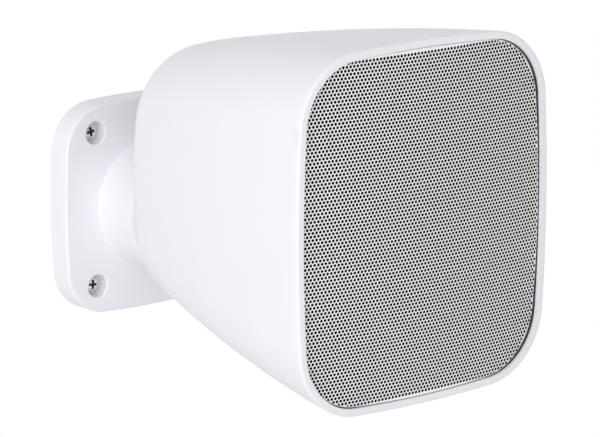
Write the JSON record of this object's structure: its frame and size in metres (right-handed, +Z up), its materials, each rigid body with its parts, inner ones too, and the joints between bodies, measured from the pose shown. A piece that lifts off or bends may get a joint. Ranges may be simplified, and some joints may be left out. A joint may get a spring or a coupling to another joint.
{
  "type": "wall speaker",
  "caption": "Small wall speaker: bowed tapering cabinet with a domed perforated grille, held by a ball joint on a screwed wall plate.",
  "frame": {"origin": "middle of the wall plate's back face, in the plane of the wall", "axes": "+Z up, +Y into the wall, the grille looks along -Y, X across"},
  "size_m": [0.1214, 0.1912, 0.1374],
  "materials": {
    "white_plastic": "fine satin moulding",
    "white_sheet": "satin powder coat",
    "white_cast": "satin paint on a cast alloy",
    "black_plastic": "matt moulding",
    "liner_plastic": "smooth natural nylon",
    "zinc_steel": "bright zinc plating",
    "black_steel": "black coated pressing",
    "ferrite": "ground ferrite",
    "foam": "closed-cell foam",
    "screen_cloth": "thin black woven screen",
    "fibre": "vulcanised fibre",
    "roll_rubber": "matt rubber",
    "spider_cloth": "resin-dipped cloth",
    "cone_paper": "pressed paper pulp",
    "coil_copper": "enamelled copper on a paper former",
    "tinned_brass": "tinned",
    "header_plastic": "black header moulding"
  },
  "bodies": {
    "wall_mount": {"wall_plate": "white_plastic", "wall_screws": "zinc_steel", "socket_ring": "white_plastic", "ring_screws": "zinc_steel"},
    "liner": {"socket_liner": "liner_plastic"},
    "ball": {"ball_stud": "white_cast", "pivot_washer": "fibre", "stud_washer": "zinc_steel", "stud_screw": "zinc_steel"},
    "cabinet": {"cabinet_shell": "white_plastic", "baffle_seal": "foam", "front_baffle": "black_plastic", "baffle_screws": "zinc_steel", "front_grille": "white_sheet", "grille_screen": "screen_cloth", "driver_seal": "foam", "driver_frame": "black_steel", "driver_trim": "foam", "driver_screws": "zinc_steel", "surround": "roll_rubber", "spider": "spider_cloth", "front_pole_plate": "zinc_steel", "magnet": "ferrite", "yoke": "zinc_steel", "driver_tags": "tinned_brass", "input_socket": "header_plastic", "input_pins": "tinned_brass", "input_screws": "zinc_steel"},
    "cone_set": {"cone": "cone_paper", "dust_cap": "cone_paper", "voice_coil": "coil_copper"}
  },
  "joints": [
    {"name": "pan", "type": "hinge", "parent": "wall_mount", "child": "liner", "pos_m": [0, -0.02572, 0], "axis": [0, 0, 1], "range_deg": [-30, 30]},
    {"name": "tilt", "type": "hinge", "parent": "liner", "child": "ball", "pos_m": [0, -0.02572, 0], "axis": [1, 0, 0], "range_deg": [-25, 25]},
    {"name": "roll", "type": "hinge", "parent": "ball", "child": "cabinet", "pos_m": [0, -0.02572, 0], "axis": [0, 1, 0], "continuous": true},
    {"name": "cone_travel", "type": "slide", "parent": "cabinet", "child": "cone_set", "axis": [0, -1, 0], "range_m": [-0.0025, 0.0025], "stiffness_N_per_m": 1500, "deforming": ["surround", "spider"]}
  ]
}
